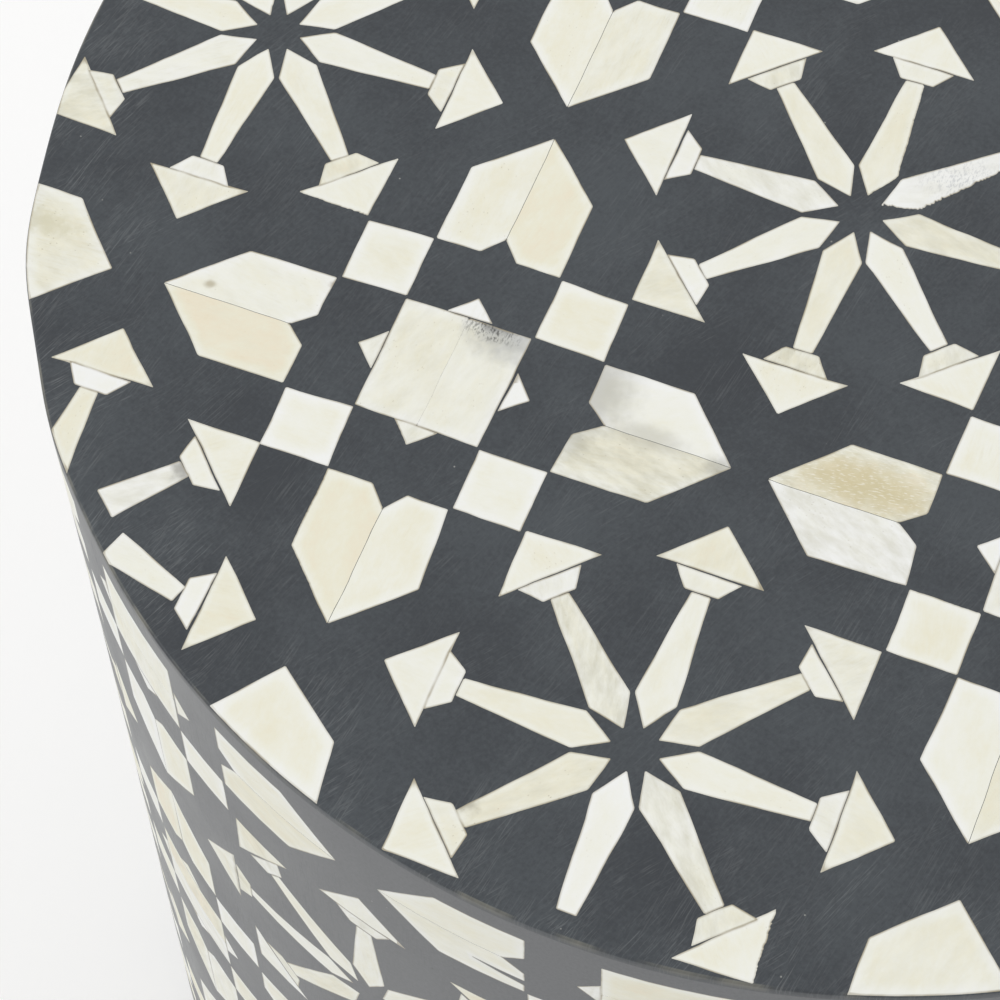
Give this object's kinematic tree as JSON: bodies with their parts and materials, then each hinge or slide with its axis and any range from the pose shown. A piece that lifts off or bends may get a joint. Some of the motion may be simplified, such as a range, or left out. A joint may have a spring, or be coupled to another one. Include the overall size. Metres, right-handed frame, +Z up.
{
  "type": "side table",
  "caption": "Round drum side table: hollow wooden carcass with a straight wall and flat top, skinned in dark resin inlaid with pale bone stars, squares and shields.",
  "frame": {"origin": "centre of the drum, on the floor under the glides", "axes": "+Z up the drum's axis; X and Y run along the rows of stars on the top"},
  "size_m": [0.3999, 0.4, 0.495],
  "materials": {
    "bone": "satin polished bone",
    "resin": "satin charcoal resin",
    "stave_wood": "sawn and turned softwood",
    "board": "raw fibreboard",
    "steel": "zinc plated",
    "nylon": "moulded nylon"
  },
  "bodies": {
    "root": {"base_board": "board", "base_screws": "steel", "batten_1": "stave_wood", "batten_2": "stave_wood", "batten_3": "stave_wood", "batten_4": "stave_wood", "glides": "nylon", "top_board": "board", "top_corner_squares": "bone", "top_resin": "resin", "top_rim_shields": "bone", "top_shield_halves": "bone", "top_square_halves": "bone", "top_square_points": "bone", "top_star_arrowheads": "bone", "top_star_collars": "bone", "top_star_spokes": "bone", "wall_resin": "resin", "wall_stave_01": "stave_wood", "wall_stave_02": "stave_wood", "wall_stave_03": "stave_wood", "wall_stave_04": "stave_wood", "wall_stave_05": "stave_wood", "wall_stave_06": "stave_wood", "wall_stave_07": "stave_wood", "wall_stave_08": "stave_wood", "wall_stave_09": "stave_wood", "wall_stave_10": "stave_wood", "wall_stave_11": "stave_wood", "wall_stave_12": "stave_wood", "wall_stave_13": "stave_wood", "wall_stave_14": "stave_wood", "wall_stave_15": "stave_wood", "wall_stave_16": "stave_wood"}
  },
  "joints": []
}
